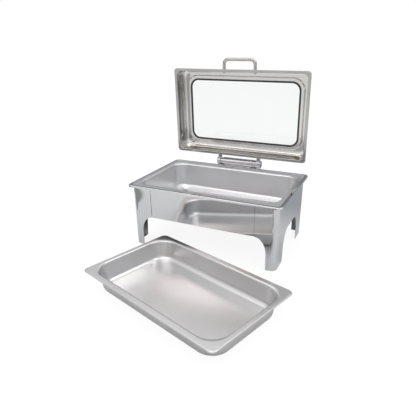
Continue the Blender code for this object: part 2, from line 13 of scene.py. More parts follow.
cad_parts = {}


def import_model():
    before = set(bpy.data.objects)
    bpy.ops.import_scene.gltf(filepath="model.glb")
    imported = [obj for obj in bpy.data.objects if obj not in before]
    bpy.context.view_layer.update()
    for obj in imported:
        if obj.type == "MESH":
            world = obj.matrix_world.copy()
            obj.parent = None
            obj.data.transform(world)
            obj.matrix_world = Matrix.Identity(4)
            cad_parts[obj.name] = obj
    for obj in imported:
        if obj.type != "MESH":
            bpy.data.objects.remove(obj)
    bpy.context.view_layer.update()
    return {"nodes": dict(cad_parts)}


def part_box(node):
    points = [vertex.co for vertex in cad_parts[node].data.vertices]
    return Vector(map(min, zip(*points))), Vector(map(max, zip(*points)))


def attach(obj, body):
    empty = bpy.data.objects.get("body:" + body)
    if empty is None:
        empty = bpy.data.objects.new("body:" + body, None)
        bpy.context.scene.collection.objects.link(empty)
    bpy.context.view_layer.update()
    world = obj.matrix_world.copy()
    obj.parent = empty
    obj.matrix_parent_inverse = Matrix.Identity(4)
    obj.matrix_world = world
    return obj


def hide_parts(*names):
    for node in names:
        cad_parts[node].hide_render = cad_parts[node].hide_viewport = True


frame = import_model()

MM = 0.001
SHEET = 1.5
PAN_SHEET = 1.0
GAP = 0.3

# Stand
RIM_HALF_X, RIM_HALF_Y, RIM_RADIUS = 279.0, 184.0, 18.0
RIM_TOP, RIM_LIP = 228.0, 7.3
RIM_BEAD_X, RIM_BEAD_Y = 8.8, 11.8
RECESS_DEPTH = 2.4
PANEL_HALF_X, PANEL_HALF_Y, PANEL_RADIUS = 267.7, 172.7, 22.0
PANEL_TOP = RIM_TOP - RECESS_DEPTH - SHEET - GAP
PANEL_LEAN = 2.2
SEAM_X, SEAM_GAP = 190.5, 1.6
APRON_BOTTOM, APRON_HEM = 113.0, 10.0
FRONT_LEG_INNER, FRONT_ARCH_SPRING = 231.1, 55.0
SIDE_ARCH_TOP, SIDE_ARCH_SPRING = 107.0, 42.0
SIDE_ARCH_FLAT, SIDE_LEG_INNER, SIDE_LEG_FOOT = 40.0, 90.5, 94.0
SKIRT_DROP = 18.0

# Pans
WATER_HALF_X, WATER_HALF_Y, WATER_RADIUS = 250.0, 143.5, 45.0
WATER_EDGE_RADIUS, WATER_FILLET, WATER_DRAFT = 7.0, 15.0, 4.0
WATER_FLANGE_TOP = RIM_TOP - RECESS_DEPTH + GAP + PAN_SHEET
WATER_FLOOR = 130.0
# How far the flat middle of a floor keeps from its fillet. This is too wide for the water pan: its corner
# radius turns negative there, so the outline of its floor crosses itself and a dark diagonal line shows
FLOOR_INSET = 30.0
FOOD_HALF_X, FOOD_HALF_Y, FOOD_FLANGE_RADIUS = 265.0, 162.5, 15.0
FOOD_DEPTH = 65.0
FOOD_WALL_X, FOOD_WALL_Y, FOOD_WALL_RADIUS = 248.0, 141.0, 60.0
FOOD_EDGE_RADIUS, FOOD_FILLET, FOOD_DRAFT = 5.0, 17.0, 5.0
FOOD_TURN = math.radians(-18.53)

# Lid, drawn shut with its flange face at height 0
HINGE_Y, HINGE_Z = 190.5, 242.5
LID_HALF_X, LID_HALF_Y, LID_CORNER = 264.5, 163.0, 12.0
LID_REAR_Y = 161.5
LID_SEAT_Z = WATER_FLANGE_TOP + GAP
LID_OPEN = math.radians(87.66)
LID_SHEET = 1.2
LID_FACE, LID_LAND = 56.5, 53.0
# Depth of the raised lid, in metres: its direction, and where the painted shade of its flange and walls gives
# way to its face
LID_DEEP = (0.0, math.sin(LID_OPEN), math.cos(LID_OPEN))
FACE_STARTS = (0.432, 0.446)
WINDOW_INSET, WINDOW_RADIUS = 40.0, 36.0
GLASS_INSET, GLASS_RADIUS = 44.0, 32.0
GLASS_LOW, GLASS_HIGH = 52.2, 55.9
HANDLE_SPAN, HANDLE_RADIUS, HANDLE_BEND = 120.0, 6.0, 17.0
HANDLE_REACH, HANDLE_HEIGHT = 196.2, 13.0

# Hinge
DAMPER_RADIUS = 15.5
DAMPER_LEFT, DAMPER_RIGHT = -65.7, 58.7
EAR_WIDTH = 11.0
EARS = {"left": (-77.0, 13.0), "right": (59.0, 15.2)}
HUBS = {"left": (-91.0, -77.3, -85.0), "right": (90.0, 70.3, 75.0)}
ARM_WIDTH = 15.0
BRACKET_SCREWS = (-60.5, -22.5, 15.5, 53.5)
BRACKET_SCREW_Z = 197.0

# Fineness: steps in a quarter turn, sides of a round section, and most degrees in one step of a bend
CORNER_STEPS, ARCH_STEPS, BAR_STEPS = 20, 32, 16
ROUND_SIDES, SMALL_SIDES = 96, 36
BEND_STEP = 12
SMOOTH_ANGLE = 32
FLAT_WEIGHT = 90

# Camera, from the chafer's middle at floor level
CAMERA_PLACE = (563.4, -1313.9, 700.0)
CAMERA_YAW, CAMERA_PITCH, CAMERA_ROLL = math.radians(25.05), math.radians(22.18), math.radians(0.57)
CAMERA_LENS, CAMERA_SENSOR = 35.91, 36.0

# Painted shade: share of its colour that a shaded part keeps, and the slopes between which a face looks down
WALL_SHADE, UNDERSIDE_SHADE = 0.68, 0.22
UNDERSIDE_SLOPES = (-0.6, -0.2)

# Local Z becomes world X or world Y
ACROSS = Matrix(((0, 0, 1, 0), (1, 0, 0, 0), (0, 1, 0, 0), (0, 0, 0, 1)))
REARWARD = Matrix(((1, 0, 0, 0), (0, 0, 1, 0), (0, -1, 0, 0), (0, 0, 0, 1)))


def middle(node):
    """Middle of a node's footprint, at floor level."""
    low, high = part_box(node)
    return Matrix.Translation(((low.x + high.x) / 2, (low.y + high.y) / 2, 0))


# Places, in metres: the chafer's middle, the food pan, the hinge line fixed and moving, and the shut lid
# turned open
CHAFER = middle("top_frame")
FOOD = middle("food_pan") @ Matrix.Rotation(FOOD_TURN, 4, "Z")
HINGE_POINT = Vector((CHAFER.translation.x, CHAFER.translation.y + HINGE_Y * MM, HINGE_Z * MM))
HINGE = Matrix.Translation(HINGE_POINT) @ ACROSS
OPENED = Matrix.Translation(HINGE_POINT) @ Matrix.Rotation(-LID_OPEN, 4, "X")
LID_OFFSET = Vector((0, LID_REAR_Y - LID_HALF_Y - HINGE_Y, LID_SEAT_Z - HINGE_Z))
LID = OPENED @ Matrix.Translation(LID_OFFSET * MM)


# ---------------------------------------------------------------- shapes


def skin(rings, closed, placement):
    """A mesh skinned over equal rings of points in millimetres, capped at its ends unless it is closed."""
    shape = bmesh.new()
    made = [[shape.verts.new(placement @ (Vector(point) * MM)) for point in ring] for ring in rings]
    following = made[1:] + made[:1] if closed else made[1:]
    for ring, after in zip(made, following):
        for i, corner in enumerate(ring):
            j = (i + 1) % len(ring)
            shape.faces.new((corner, ring[j], after[j], after[i]))
    if not closed:
        shape.faces.new(made[0])
        shape.faces.new(made[-1])
    return shape


def linked(name, shape):
    """A plain object made of the mesh, facing out."""
    bmesh.ops.recalc_face_normals(shape, faces=shape.faces)
    if shape.calc_volume(signed=True) < 0:
        bmesh.ops.reverse_faces(shape, faces=shape.faces)
    mesh = bpy.data.meshes.new(name)
    shape.to_mesh(mesh)
    shape.free()
    made = bpy.data.objects.new(name, mesh)
    bpy.context.scene.collection.objects.link(made)
    return made


def piece(name, shape, body, finish, nodes):
    """Makes the object, shades it, gives it its finish and hangs it on its body in place of its CAD nodes."""
    made = linked(name, shape)
    made.data.shade_smooth()
    made.data.set_sharp_from_angle(angle=math.radians(SMOOTH_ANGLE))
    made.data.materials.append(finish)
    normals = made.modifiers.new("Flat faces stay flat", "WEIGHTED_NORMAL")
    normals.keep_sharp = True
    normals.weight = FLAT_WEIGHT
    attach(made, body)
    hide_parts(*nodes)
    return made


def filleted(corners, closed=True):
    """Rounds the corners of an outline of (point, bend radius).

    The first and last numbers of a point set the angle of its corner.
    """
    path = []
    for i, (point, bend) in enumerate(corners):
        here = Vector(point)
        if bend == 0 or (not closed and i in (0, len(corners) - 1)):
            path.append(here)
            continue
        before = Vector(corners[i - 1][0]) - here
        after = Vector(corners[(i + 1) % len(corners)][0]) - here
        flat_before, flat_after = Vector((before[0], before[-1])), Vector((after[0], after[-1]))
        turn = math.pi - flat_before.angle(flat_after)
        reach = bend * math.tan(turn / 2)
        start = here + before * (reach / flat_before.length)
        end = here + after * (reach / flat_after.length)
        steps = max(2, math.ceil(math.degrees(turn) / BEND_STEP))
        for step in range(steps + 1):
            t = step / steps
            weights = ((1 - t) ** 2, 2 * t * (1 - t) * math.cos(turn / 2), t ** 2)
            path.append((start * weights[0] + here * weights[1] + end * weights[2]) / sum(weights))
    return path


def rounded_rectangle(half_x, half_y, radius, height):
    """Points round a level rectangle with round corners."""
    points = []
    for quarter, (side_x, side_y) in enumerate(((1, 1), (-1, 1), (-1, -1), (1, -1))):
        for step in range(CORNER_STEPS + 1):
            angle = math.radians(90 * (quarter + step / CORNER_STEPS))
            x = side_x * (half_x - radius) + radius * math.cos(angle)
            y = side_y * (half_y - radius) + radius * math.sin(angle)
            points.append((x, y, height))
    return points


def pressed(name, corners, body, finish, placement, closed, nodes=None):
    """A pressing of rounded rectangles; a corner is ((half_x, half_y, plan radius, height), bend radius)."""
    rings = [rounded_rectangle(*level) for level in filleted(corners, closed)]
    return piece(name, skin(rings, closed, placement), body, finish, nodes or [name])


def turned(stations, closed, placement, sides=ROUND_SIDES):
    """A turned mesh along local Z; a station is (distance along, radius or one radius per side)."""
    rings = []
    for along, radius in stations:
        radii = radius if isinstance(radius, list) else [radius] * sides
        turns = [2 * math.pi * i / sides for i in range(sides)]
        rings.append([(r * math.cos(t), r * math.sin(t), along) for r, t in zip(radii, turns)])
    return skin(rings, closed, placement)


def extruded(corners, span, placement):
    """A filleted outline drawn in local X and Y, drawn out along local Z."""
    outline = filleted(corners)
    return skin([[(*point, along) for point in outline] for along in span], False, placement)


def boolean(first, others, operation):
    """The first mesh with the others joined to it, or taken away from it."""
    for other in others:
        host, tool = linked("host", first), linked("tool", other)
        modifier = host.modifiers.new(operation, "BOOLEAN")
        modifier.operation = operation
        modifier.object = tool
        first = bmesh.new()
        first.from_object(host, bpy.context.evaluated_depsgraph_get())
        for done in (host, tool):
            bpy.data.objects.remove(done)
    return first


def hexagon(across, sides):
    """One radius per side of a round section, which together draw a hexagon of this size across its flats."""
    radii = []
    for i in range(sides):
        angle = (2 * math.pi * i / sides) % (math.pi / 3) - math.pi / 6
        radii.append(across / 2 / math.cos(angle))
    return radii


# ---------------------------------------------------------------- finishes


class Finish:
    """A node tree being wired up, with Object or Generated coordinates as its place."""

    def __init__(self, owner, place="Object"):
        owner.use_nodes = True
        self.tree = owner.node_tree
        self.place = self.node("ShaderNodeTexCoord").outputs[place]

    def fill(self, made, inputs):
        for key, value in inputs.items():
            if isinstance(value, bpy.types.NodeSocket):
                self.tree.links.new(value, made.inputs[key])
            else:
                made.inputs[key].default_value = value

    def node(self, kind, inputs=None, **settings):
        made = self.tree.nodes.new(kind)
        for key, value in settings.items():
            setattr(made, key, value)
        self.fill(made, inputs or {})
        return made

    def principled(self, **inputs):
        named = {key.replace("_", " "): value for key, value in inputs.items()}
        self.fill(self.tree.nodes["Principled BSDF"], named)

    def maths(self, operation, first, second):
        return self.node("ShaderNodeMath", {0: first, 1: second}, operation=operation).outputs[0]

    def vectors(self, operation, *values):
        return self.node("ShaderNodeVectorMath", dict(enumerate(values)), operation=operation).outputs

    def noise(self, scale, detail=2.0, stretch=(1.0, 1.0, 1.0), turn=0.0):
        """Noise from 0 to 1, its scale per metre, drawn out along an axis by a small stretch."""
        laid = {"Vector": self.place, "Scale": stretch, "Rotation": (0, 0, turn)}
        place = self.node("ShaderNodeMapping", laid).outputs[0]
        grain = {"Vector": place, "Scale": scale, "Detail": detail}
        return self.node("ShaderNodeTexNoise", grain).outputs["Fac"]

    def between(self, value, low, high, start=0.3, end=0.7, ease="LINEAR"):
        """The value's stretch from start to end as a number from low to high."""
        ends = {"Value": value, "From Min": start, "From Max": end, "To Min": low, "To Max": high}
        return self.node("ShaderNodeMapRange", ends, interpolation_type=ease).outputs[0]

    def sum(self, *values):
        total = values[0]
        for value in values[1:]:
            total = self.maths("ADD", total, value)
        return total

    def bump(self, height, distance, normal=None):
        inputs = {"Height": height, "Distance": distance, "Strength": 1.0}
        if normal:
            inputs["Normal"] = normal
        return self.node("ShaderNodeBump", inputs).outputs[0]

    def tint(self, factor, first, second):
        """The first colour at 0 and the second at 1; a colour is a socket or three numbers."""
        ends = [colour if isinstance(colour, bpy.types.NodeSocket) else (*colour, 1.0)
                for colour in (first, second)]
        made = self.node("ShaderNodeMix", {0: factor, 6: ends[0], 7: ends[1]}, data_type="RGBA")
        return made.outputs[2]

    def painted(self, base, spots):
        """The base colour under soft spots of (centre, squeeze, radius, radius of its edge, colour)."""
        colour = base
        for centre, squeeze, inside, edge, light in spots:
            off = self.vectors("SUBTRACT", self.place, centre)[0]
            off = self.vectors("MULTIPLY", off, squeeze)[0]
            away = self.vectors("LENGTH", off)["Value"]
            colour = self.tint(self.between(away, 1.0, 0.0, inside, edge, "SMOOTHSTEP"), colour, light)
        return colour


def steel(name, light, dark, roughness, spread, grain, wave, turn=0.0, shade=None):
    """Stainless steel.

    Roughness varies by spread. Grain is the depth of the polishing lines and wave that of the sheet's slow
    unevenness, both in metres, and turn is the direction of the lines. A shade is painted shade: it takes the
    finish and gives the share of its colour that the sheet keeps, from 0 to 1.
    """
    material = bpy.data.materials.new(name)
    made = Finish(material)
    clouds = made.noise(11.0, detail=4.0)
    lines = made.noise(1.0, detail=3.0, stretch=(16.0, 900.0, 900.0), turn=turn)
    strokes = made.noise(1.0, detail=1.0, stretch=(700.0, 26.0, 90.0), turn=turn + 0.5)
    scuffs = made.between(strokes, 0.0, 0.07, 0.68, 0.74)
    smudge = made.between(clouds, -spread, spread)
    fine = made.between(lines, -spread, spread)
    waves = made.bump(made.noise(5.0, detail=1.0), wave)
    colour = made.tint(made.between(clouds, 0.0, 1.0), dark, light)
    # Painted shade: the colour is darkened towards black where the shade is below 1
    if shade:
        colour = made.tint(shade(made), (0.0, 0.0, 0.0), colour)
    rough = made.sum(smudge, fine, scuffs, roughness)
    made.principled(Metallic=1.0, Base_Color=colour, Roughness=rough, Normal=made.bump(lines, grain, waves))
    return material


def lid_depth_shade(made):
    """Painted shade: the lid's flange and drawn walls are darker than its face."""
    depth = made.vectors("DOT_PRODUCT", made.place, LID_DEEP)["Value"]
    return made.between(depth, WALL_SHADE, 1.0, *FACE_STARTS, "SMOOTHSTEP")


def underside_shade(made):
    """Painted shade: faces that look down are darker."""
    facing = made.node("ShaderNodeSeparateXYZ", {0: made.node("ShaderNodeNewGeometry").outputs["Normal"]})
    return made.between(facing.outputs["Z"], UNDERSIDE_SHADE, 1.0, *UNDERSIDE_SLOPES)


def glass(name):
    """Clear tempered glass with a faint film on it."""
    material = bpy.data.materials.new(name)
    made = Finish(material)
    smear = made.between(made.noise(14.0, detail=5.0), 0.0, 0.03)
    made.principled(Base_Color=(0.915, 0.925, 0.92, 1.0), Transmission_Weight=1.0, IOR=1.45, Roughness=smear)
    return material


def moulded(name, dark, light, grain, depth, smooth, dull):
    """Rubber or nylon, with a fine grain and a roughness that varies with it."""
    material = bpy.data.materials.new(name)
    made = Finish(material)
    grains = made.noise(grain, detail=3.0)
    made.principled(Base_Color=made.tint(made.between(made.noise(40.0), 0.0, 1.0), dark, light),
                    Roughness=made.between(grains, smooth, dull), Normal=made.bump(grains, depth))
    return material


MIRROR = steel("mirror_polished_sheet", (0.72, 0.73, 0.74), (0.69, 0.70, 0.71),
               roughness=0.035, spread=0.012, grain=4e-7, wave=6e-5)
LID_STEEL = steel("polished_lid_sheet", (0.80, 0.795, 0.78), (0.77, 0.765, 0.75),
                  roughness=0.15, spread=0.03, grain=1e-6, wave=2e-5, shade=lid_depth_shade)
SATIN = steel("satin_pan_sheet", (0.85, 0.85, 0.86), (0.81, 0.81, 0.82),
              roughness=0.30, spread=0.012, grain=3e-6, wave=1.2e-5, shade=underside_shade)
FOOD_SATIN = steel("satin_food_pan_sheet", (0.755, 0.75, 0.75), (0.715, 0.71, 0.71),
                   roughness=0.30, spread=0.012, grain=3e-6, wave=1.2e-5, turn=-FOOD_TURN)
CHROME = steel("polished_hinge", (0.54, 0.54, 0.56), (0.50, 0.50, 0.52),
               roughness=0.07, spread=0.02, grain=6e-7, wave=0.0)
PLAIN = steel("plain_fasteners", (0.66, 0.66, 0.66), (0.58, 0.58, 0.58),
              roughness=0.28, spread=0.05, grain=2e-6, wave=0.0)
# Near black, given to the two left splice plates only; the right ones are plain steel
DARK_PLATE = steel("near_black_splice_plate", (0.07, 0.07, 0.07), (0.05, 0.05, 0.05),
                   roughness=0.45, spread=0.05, grain=2e-6, wave=0.0)
GLASS = glass("clear_glass")
RUBBER = moulded("black_silicone", (0.03, 0.03, 0.031), (0.055, 0.055, 0.057),
                 grain=2200.0, depth=3e-5, smooth=0.38, dull=0.55)
NYLON = moulded("black_nylon", (0.02, 0.02, 0.02), (0.045, 0.045, 0.045),
                grain=900.0, depth=2e-5, smooth=0.4, dull=0.6)


# ---------------------------------------------------------------- stand


def lean(height):
    """How far a wall leans in at this height."""
    return PANEL_LEAN * (1 - height / PANEL_TOP)


def half_frame():
    """Plan points, outward normals and bottom heights along the front half of the right end frame."""
    columns = []
    start, reach = SEAM_GAP / 2, FRONT_LEG_INNER - SEAM_X
    for step in range(ARCH_STEPS + 1):
        across = start + (reach - start) * math.sin(math.radians(90 * step / ARCH_STEPS))
        fall = math.sqrt(max(0.0, 1 - (across / reach) ** 2))
        bottom = FRONT_ARCH_SPRING + (APRON_BOTTOM - FRONT_ARCH_SPRING) * fall
        columns.append(((SEAM_X + across, -PANEL_HALF_Y), (0, -1), bottom))
    columns.append(((FRONT_LEG_INNER + 0.5, -PANEL_HALF_Y), (0, -1), 0.0))
    centre_x, centre_y = PANEL_HALF_X - PANEL_RADIUS, -PANEL_HALF_Y + PANEL_RADIUS
    for step in range(CORNER_STEPS + 1):
        angle = math.radians(-90 + 90 * step / CORNER_STEPS)
        x, y = math.cos(angle), math.sin(angle)
        columns.append(((centre_x + PANEL_RADIUS * x, centre_y + PANEL_RADIUS * y), (x, y), 0.0))
    columns.append(((PANEL_HALF_X, -SIDE_LEG_FOOT), (1, 0), 0.0))
    for step in range(ARCH_STEPS + 1):
        turn = math.radians(90 * step / ARCH_STEPS)
        y = -SIDE_ARCH_FLAT - (SIDE_LEG_INNER - SIDE_ARCH_FLAT) * math.cos(turn)
        bottom = SIDE_ARCH_SPRING + (SIDE_ARCH_TOP - SIDE_ARCH_SPRING) * math.sin(turn)
        columns.append(((PANEL_HALF_X, y), (1, 0), bottom))
    return columns


def end_frame(name, side):
    """One sheet bent round both corners of an end, with two legs and an arch between them."""
    front = half_frame()
    rear = [((x, -y), (nx, -ny), bottom) for (x, y), (nx, ny), bottom in reversed(front)]
    rings = []
    for (x, y), (nx, ny), bottom in front + rear:
        ring = []
        for height, depth in ((bottom, 0), (PANEL_TOP, 0), (PANEL_TOP, SHEET), (bottom, SHEET)):
            inward = lean(height) + depth
            ring.append((side * (x - nx * inward), y - ny * inward, height))
        rings.append(ring)
    piece(name + "_fine", skin(rings, False, CHAFER), "stand", MIRROR, [name])


def apron(name, side):
    """The wall between two seams, its lower edge hemmed inwards."""
    def face(height, depth):
        return side * (PANEL_HALF_Y - lean(height) - depth), height

    inner = APRON_BOTTOM + SHEET
    corners = ((face(APRON_BOTTOM, 0), 2.2), (face(PANEL_TOP, 0), 0), (face(PANEL_TOP, SHEET), 0),
               (face(inner, SHEET), 0.8), (face(inner, APRON_HEM), 0), (face(APRON_BOTTOM, APRON_HEM), 0))
    half = SEAM_X - SEAM_GAP / 2
    piece(name + "_fine", extruded(corners, (-half, half), CHAFER @ ACROSS), "stand", MIRROR, [name])


def top_frame():
    """The rim with its lip, bead, recess for the pan's flange and skirt."""
    top, under = RIM_TOP, RIM_TOP - SHEET
    recess, recess_under = RIM_TOP - RECESS_DEPTH, RIM_TOP - RECESS_DEPTH - SHEET
    bead_x, bead_y = RIM_HALF_X - RIM_BEAD_X, RIM_HALF_Y - RIM_BEAD_Y
    skirt_x, skirt_y = PANEL_HALF_X - SHEET - GAP, PANEL_HALF_Y - SHEET - GAP
    skirt_r = PANEL_RADIUS - SHEET - GAP
    open_x, open_y = WATER_HALF_X + WATER_EDGE_RADIUS - 0.5, WATER_HALF_Y + WATER_EDGE_RADIUS - 0.5
    open_r = WATER_RADIUS + WATER_EDGE_RADIUS - 0.5
    low = RIM_TOP - SKIRT_DROP - RECESS_DEPTH

    def outer(inset, height):
        return RIM_HALF_X - inset, RIM_HALF_Y - inset, RIM_RADIUS - inset, height

    corners = (
        (outer(0, top - RIM_LIP), 0.3), (outer(0, top), 2.6), ((bead_x - 0.6, bead_y - 0.6, 12.0, top), 1.2),
        ((bead_x - 1.3, bead_y - 1.3, 11.5, recess), 0.4), ((open_x, open_y, open_r, recess), 0.4),
        ((open_x, open_y, open_r, recess_under), 0),
        ((skirt_x - SHEET, skirt_y - SHEET, skirt_r - SHEET, recess_under), 0),
        ((skirt_x - SHEET - 0.4, skirt_y - SHEET - 0.4, skirt_r - SHEET, low), 0),
        ((skirt_x - 0.4, skirt_y - 0.4, skirt_r, low), 0), ((skirt_x, skirt_y, skirt_r, recess_under), 0),
        ((bead_x + 0.3, bead_y + 1.0, 13.5, recess_under), 0), ((bead_x + 0.8, bead_y + 1.5, 14.0, under), 0),
        (outer(SHEET, under), 0.8), (outer(SHEET, top - RIM_LIP), 0.3),
    )
    pressed("top_frame_fine", corners, "stand", MIRROR, CHAFER, True, ["top_frame"])


# ---------------------------------------------------------------- pans


def pan_corners(wall, edge_radius, draft, fillet, floor, flange_top, flange):
    """Outer skin from its floor up, the flange's own corners, then the inner skin down to the floor."""
    half_x, half_y, corner = wall

    def level(inset, height):
        return half_x - inset, half_y - inset, corner - inset, height

    slope = draft / (flange_top - edge_radius - floor - fillet)
    foot = draft + fillet * slope
    head = -edge_radius * slope
    flat = draft + fillet + FLOOR_INSET
    outer = [(level(flat, floor - PAN_SHEET), 0),
             (level(foot - PAN_SHEET, floor - PAN_SHEET), fillet + PAN_SHEET),
             (level(head - PAN_SHEET, flange_top - PAN_SHEET), edge_radius - PAN_SHEET)]
    inner = [(level(head, flange_top), edge_radius), (level(foot, floor), fillet), (level(flat, floor), 0)]
    return outer + flange + inner


def water_pan():
    flange_x, flange_y = RIM_HALF_X - RIM_BEAD_X - 2.6, RIM_HALF_Y - RIM_BEAD_Y - 2.6
    flange = [((flange_x, flange_y, 10.5, WATER_FLANGE_TOP - PAN_SHEET), 0.3),
              ((flange_x, flange_y, 10.5, WATER_FLANGE_TOP), 0.4)]
    wall = (WATER_HALF_X, WATER_HALF_Y, WATER_RADIUS)
    corners = pan_corners(wall, WATER_EDGE_RADIUS, WATER_DRAFT, WATER_FILLET, WATER_FLOOR, WATER_FLANGE_TOP,
                          flange)
    pressed("water_pan_fine", corners, "stand", SATIN, CHAFER, False, ["water_pan"])


def food_pan():
    def edge(inset, height):
        return FOOD_HALF_X - inset, FOOD_HALF_Y - inset, FOOD_FLANGE_RADIUS - inset, height

    lip = FOOD_DEPTH - 4.0
    flange = [(edge(1.0, FOOD_DEPTH - PAN_SHEET), 1.0), (edge(1.0, lip), 0), (edge(0, lip), 0),
              (edge(0, FOOD_DEPTH), 2.0)]
    wall = (FOOD_WALL_X, FOOD_WALL_Y, FOOD_WALL_RADIUS)
    corners = pan_corners(wall, FOOD_EDGE_RADIUS, FOOD_DRAFT, FOOD_FILLET, PAN_SHEET, FOOD_DEPTH, flange)
    pressed("food_pan_fine", corners, "food_pan", FOOD_SATIN, FOOD, False, ["food_pan"])


# ---------------------------------------------------------------- lid


def lid_level(inset, radius, height):
    """A level of the lid, this far in from the flange's edge."""
    return LID_HALF_X - inset, LID_HALF_Y - inset, radius, height


def lid_shell():
    over = LID_SHEET
    corners = (
        (lid_level(WINDOW_INSET, WINDOW_RADIUS, LID_LAND), 0), (lid_level(31.5, 43.5, LID_LAND), 1.2),
        (lid_level(29.0, 45.5, LID_FACE), 1.2), (lid_level(14.6, 16.0, LID_FACE), 8.0),
        (lid_level(10.6, 18.0, 0.0), 1.8), (lid_level(0.0, LID_CORNER, 0.0), 1.4),
        (lid_level(0.0, LID_CORNER, 3.0), 1.4), (lid_level(4.2, 10.0, 3.0), 0.6),
        (lid_level(4.6, 10.0, over), 0.3), (lid_level(9.4, 18.6, over), 1.2),
        (lid_level(13.4, 17.2, LID_FACE + over), 9.2),
        (lid_level(28.6, 45.8, LID_FACE + over), 1.6), (lid_level(31.1, 43.8, LID_LAND + over), 1.0),
        (lid_level(WINDOW_INSET, WINDOW_RADIUS, LID_LAND + over), 0),
    )
    pressed("lid_shell_fine", corners, "lid", LID_STEEL, LID, True, ["lid_shell"])


def window_pane():
    """The glass, a flat slab with eased edges."""
    middle_inset, middle_radius = 90.0, 10.0
    pane = ((lid_level(middle_inset, middle_radius, GLASS_LOW), 0),
            (lid_level(GLASS_INSET, GLASS_RADIUS, GLASS_LOW), 0.6),
            (lid_level(GLASS_INSET, GLASS_RADIUS, GLASS_HIGH), 0.6),
            (lid_level(middle_inset, middle_radius, GLASS_HIGH), 0))
    pressed("window_glass_fine", pane, "lid", GLASS, LID, False, ["window_glass"])


def window_gasket():
    """The seal, grooved for the glass inside and for the lid's land outside."""
    lip_low, lip_high = GLASS_LOW - 1.2, GLASS_HIGH + 1.2
    land_top = LID_LAND + LID_SHEET + GAP
    outside, inside, neck = (WINDOW_INSET - 1.2, 37.2), (48.8, 28.2), (42.9, 33.1)
    groove = (GLASS_INSET - GAP, GLASS_RADIUS + GAP)
    web = (WINDOW_INSET + GAP, WINDOW_RADIUS - GAP)
    gasket = (
        (lid_level(*neck, lip_low), 0.5), (lid_level(*inside, lip_low), 0.4),
        (lid_level(*inside, GLASS_LOW - GAP), 0), (lid_level(*groove, GLASS_LOW - GAP), 0),
        (lid_level(*groove, GLASS_HIGH + GAP), 0), (lid_level(*inside, GLASS_HIGH + GAP), 0),
        (lid_level(*inside, lip_high), 0.4), (lid_level(*outside, lip_high), 0.5),
        (lid_level(*outside, land_top), 0), (lid_level(*web, land_top), 0),
        (lid_level(*web, LID_LAND), 0), (lid_level(*neck, LID_LAND), 0),
    )
    pressed("window_gasket_fine", gasket, "lid", RUBBER, LID, True, ["window_gasket"])


def window_ring():
    """The trim ring round the window, on the inside of the lid."""
    top = LID_LAND - GAP
    ring = ((lid_level(31.8, 43.2, top), 0), (lid_level(31.8, 43.2, top - LID_SHEET), 0.9),
            (lid_level(42.6, 33.4, top - LID_SHEET), 0.9), (lid_level(42.6, 33.4, top), 0))
    pressed("window_ring_fine", ring, "lid", LID_STEEL, LID, True, ["window_ring"])


def handle():
    """A round bar bent twice, swept along its centre line."""
    half, reach, foot = HANDLE_SPAN / 2, -HANDLE_REACH, -LID_HALF_Y + 9.6 - GAP
    path = [(-half, foot)]
    for side, start in ((-1, 180), (1, 270)):
        for step in range(BAR_STEPS + 1):
            angle = math.radians(start + 90 * step / BAR_STEPS)
            x = side * (half - HANDLE_BEND) + HANDLE_BEND * math.cos(angle)
            path.append((x, reach + HANDLE_BEND + HANDLE_BEND * math.sin(angle)))
    path.append((half, foot))
    points = [Vector((x, y, HANDLE_HEIGHT)) for x, y in path]
    up = Vector((0, 0, 1))
    rings = []
    for i, point in enumerate(points):
        along = (points[min(i + 1, len(points) - 1)] - points[max(i - 1, 0)]).normalized()
        side = along.cross(up)
        turns = [2 * math.pi * j / SMALL_SIDES for j in range(SMALL_SIDES)]
        rings.append([point + (side * math.cos(t) + up * math.sin(t)) * HANDLE_RADIUS for t in turns])
    piece("lid_handle_fine", skin(rings, False, LID), "lid", LID_STEEL, ["lid_handle"])


# ---------------------------------------------------------------- fasteners


def screw(name, stations, placement, body, socket):
    """A screw whose head is at the far end, with a hexagon socket in it."""
    end = stations[-1][0]
    hexed = hexagon(socket, SMALL_SIDES)
    stations = [*stations, (end, hexed), (end - 2.4, hexed)]
    piece(name + "_fine", turned(stations, False, placement, SMALL_SIDES), body, PLAIN, [name])


def rearward_from(body_place, x, y, z):
    """A place on the body, in millimetres, whose local Z points to the rear."""
    return body_place @ Matrix.Translation(Vector((x, y, z)) * MM) @ REARWARD


def handle_screws():
    stations = [(-1.0, 1.9), (0.2, 2.2), (13.5, 2.2), (13.5, 4.4), (14.4, 4.35), (15.4, 3.9), (16.2, 2.6)]
    for label, side in (("left", -1), ("right", 1)):
        where = rearward_from(LID, side * HANDLE_SPAN / 2, -LID_HALF_Y, HANDLE_HEIGHT)
        screw("handle_screw_" + label, stations, where, "lid", 2.6)


def bracket_fasteners():
    """The bracket's screws, each with its nut inside the wall."""
    stations = [(-8.5, 2.0), (-8.0, 2.4), (3.1, 2.4), (3.1, 4.5), (4.2, 4.4), (5.3, 3.8), (6.0, 2.9)]
    flats = hexagon(7.9, SMALL_SIDES)
    low = [min(radius, 4.2) for radius in flats]
    nut = [(-6.2, 2.8), (-2.2, 2.8), (-2.2, low), (-2.6, flats), (-5.8, flats), (-6.2, low)]
    for number, x in enumerate(BRACKET_SCREWS, 1):
        where = rearward_from(CHAFER, x, PANEL_HALF_Y, BRACKET_SCREW_Z)
        screw(f"bracket_screw_{number}", stations, where, "stand", 3.0)
        name = f"bracket_nut_{number}"
        piece(name + "_fine", turned(nut, True, where, SMALL_SIDES), "stand", PLAIN, [name])


# ---------------------------------------------------------------- hinge


